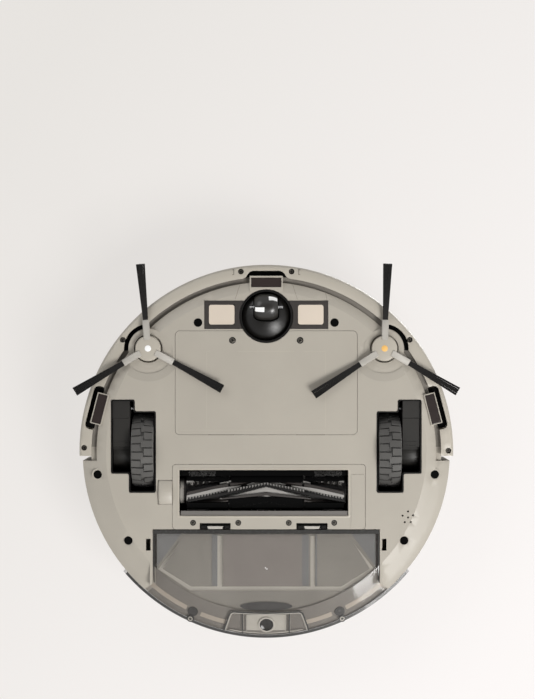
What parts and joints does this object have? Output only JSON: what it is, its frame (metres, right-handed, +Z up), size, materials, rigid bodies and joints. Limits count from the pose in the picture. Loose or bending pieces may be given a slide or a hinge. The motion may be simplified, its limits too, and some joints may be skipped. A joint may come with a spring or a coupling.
{
  "type": "robot vacuum cleaner",
  "caption": "Round robot vacuum cleaner with drive wheels, side brushes, main roller, caster, bumper, slide-out dustbin and a scanner turret.",
  "frame": {"origin": "centre of the round body, on the floor it stands on", "axes": "+Z up, the bumper faces -Y, the dustbin +Y"},
  "size_m": [0.3401, 0.3307, 0.096],
  "materials": {
    "shell": "fine moulded texture, warm greige",
    "shell_light": "fine moulded texture, light greige",
    "black_plastic": "moulded black",
    "gloss_black": "glossy black",
    "grey_plastic": "dark grey satin",
    "sensor_window": "dark red-brown infrared filter",
    "contact_metal": "pale champagne plating",
    "steel": "bright",
    "screw": "blackened",
    "tyre": "dark grey moulded rubber",
    "roller_rubber": "light grey soft rubber",
    "arm_rubber": "light grey soft rubber",
    "bristle": "nylon bristle",
    "smoke": "smoky clear",
    "filter": "pleated paper",
    "board": "solder mask",
    "battery": "shrink film"
  },
  "bodies": {
    "chassis": {"base_shell": "shell", "top_shell": "shell", "top_plate": "shell_light", "bumper_springs": "steel", "chassis_screws": "screw", "caster_cup": "black_plastic", "contact_bezels": "grey_plastic", "contact_pads": "contact_metal", "cliff_window_front": "sensor_window", "cliff_window_left": "sensor_window", "cliff_window_right": "sensor_window", "battery_cover": "shell", "battery_pack": "battery", "main_board": "board", "left_wheel_pod": "black_plastic", "right_wheel_pod": "black_plastic", "arm_pins": "steel", "left_arm_spring": "steel", "right_arm_spring": "steel", "side_brush_motors": "black_plastic", "brush_housing": "black_plastic", "roller_bearing": "shell", "roller_motor": "black_plastic", "suction_fan": "black_plastic", "lidar_cover": "shell_light", "lidar_motor": "black_plastic", "speaker": "black_plastic"},
    "bumper": {"bumper": "shell_light", "bumper_window": "gloss_black", "bumper_screws": "screw"},
    "caster_swivel": {"caster_swivel": "gloss_black", "caster_axle": "steel"},
    "caster_wheel": {"caster_wheel": "gloss_black"},
    "left_arm": {"left_wheel_arm": "black_plastic", "left_wheel_motor": "steel"},
    "right_arm": {"right_wheel_arm": "black_plastic", "right_wheel_motor": "steel"},
    "left_wheel": {"left_wheel_hub": "grey_plastic", "left_tyre": "tyre"},
    "right_wheel": {"right_wheel_hub": "grey_plastic", "right_tyre": "tyre"},
    "left_brush": {"left_brush_hub": "shell_light", "left_brush_arms": "arm_rubber", "left_brush_bristles": "bristle"},
    "right_brush": {"right_brush_hub": "shell_light", "right_brush_arms": "arm_rubber", "right_brush_bristles": "bristle"},
    "roller": {"roller_core": "grey_plastic", "roller_blades": "roller_rubber"},
    "guard": {"brush_guard": "shell", "guard_screws": "screw"},
    "latch_left": {"guard_latch_left": "black_plastic"},
    "latch_right": {"guard_latch_right": "black_plastic"},
    "dustbin": {"dustbin": "smoke", "dustbin_lid": "smoke", "bin_filter": "filter"},
    "release": {"bin_release": "shell"},
    "scanner": {"lidar_rotor": "gloss_black"},
    "power_button": {"power_button": "shell"},
    "home_button": {"home_button": "shell"}
  },
  "joints": [
    {"name": "bumper_press", "type": "slide", "parent": "chassis", "child": "bumper", "axis": [0, 1, 0], "range_m": [0, 0.003], "stiffness_N_per_m": 600, "springref_m": -0.002, "deforming": ["bumper_springs"]},
    {"name": "caster_swivel", "type": "hinge", "parent": "chassis", "child": "caster_swivel", "pos_m": [0, -0.1195, 0.03], "axis": [0, 0, 1], "continuous": true},
    {"name": "caster_roll", "type": "hinge", "parent": "caster_swivel", "child": "caster_wheel", "pos_m": [0, -0.1275, 0.012], "axis": [1, 0, 0], "continuous": true},
    {"name": "left_wheel_drop", "type": "hinge", "parent": "chassis", "child": "left_arm", "pos_m": [-0.1276, -0.038, 0.03], "axis": [-1, 0, 0], "range_deg": [0, 18], "stiffness_Nm_per_rad": 0.35, "springref_deg": 34.38, "deforming": ["left_arm_spring"]},
    {"name": "left_wheel_spin", "type": "hinge", "parent": "left_arm", "child": "left_wheel", "pos_m": [-0.109, 0, 0.033], "axis": [1, 0, 0], "continuous": true},
    {"name": "left_brush_spin", "type": "hinge", "parent": "chassis", "child": "left_brush", "pos_m": [-0.1038, -0.0911, 0.01], "axis": [0, 0, 1], "continuous": true, "deforming": ["left_brush_bristles"]},
    {"name": "right_wheel_drop", "type": "hinge", "parent": "chassis", "child": "right_arm", "pos_m": [0.1276, -0.038, 0.03], "axis": [-1, 0, 0], "range_deg": [0, 18], "stiffness_Nm_per_rad": 0.35, "springref_deg": 34.38, "deforming": ["right_arm_spring"]},
    {"name": "right_wheel_spin", "type": "hinge", "parent": "right_arm", "child": "right_wheel", "pos_m": [0.109, 0, 0.033], "axis": [1, 0, 0], "continuous": true},
    {"name": "right_brush_spin", "type": "hinge", "parent": "chassis", "child": "right_brush", "pos_m": [0.1038, -0.0911, 0.01], "axis": [0, 0, 1], "continuous": true, "deforming": ["right_brush_bristles"]},
    {"name": "roller_spin", "type": "hinge", "parent": "chassis", "child": "roller", "pos_m": [0, 0.0355, 0.026], "axis": [1, 0, 0], "continuous": true},
    {"name": "guard_lift", "type": "slide", "parent": "chassis", "child": "guard", "axis": [0, 0, -1], "range_m": [0, 0.03]},
    {"name": "latch_left_press", "type": "slide", "parent": "guard", "child": "latch_left", "axis": [0, -1, 0], "range_m": [0, 0.0013], "stiffness_N_per_m": 300, "springref_m": -0.001},
    {"name": "latch_right_press", "type": "slide", "parent": "guard", "child": "latch_right", "axis": [0, -1, 0], "range_m": [0, 0.0013], "stiffness_N_per_m": 300, "springref_m": -0.001},
    {"name": "dustbin_slide", "type": "slide", "parent": "chassis", "child": "dustbin", "axis": [0, 1, 0], "range_m": [0, 0.1]},
    {"name": "release_press", "type": "slide", "parent": "dustbin", "child": "release", "axis": [0, 0, -1], "range_m": [0, 0.0025], "stiffness_N_per_m": 500, "springref_m": -0.001},
    {"name": "scanner_spin", "type": "hinge", "parent": "chassis", "child": "scanner", "pos_m": [0, 0.03, 0.085], "axis": [0, 0, 1], "continuous": true},
    {"name": "power_press", "type": "slide", "parent": "chassis", "child": "power_button", "axis": [0, 0, -1], "range_m": [0, 0.0012], "stiffness_N_per_m": 400, "springref_m": -0.0006},
    {"name": "home_press", "type": "slide", "parent": "chassis", "child": "home_button", "axis": [0, 0, -1], "range_m": [0, 0.0012], "stiffness_N_per_m": 400, "springref_m": -0.0006}
  ]
}
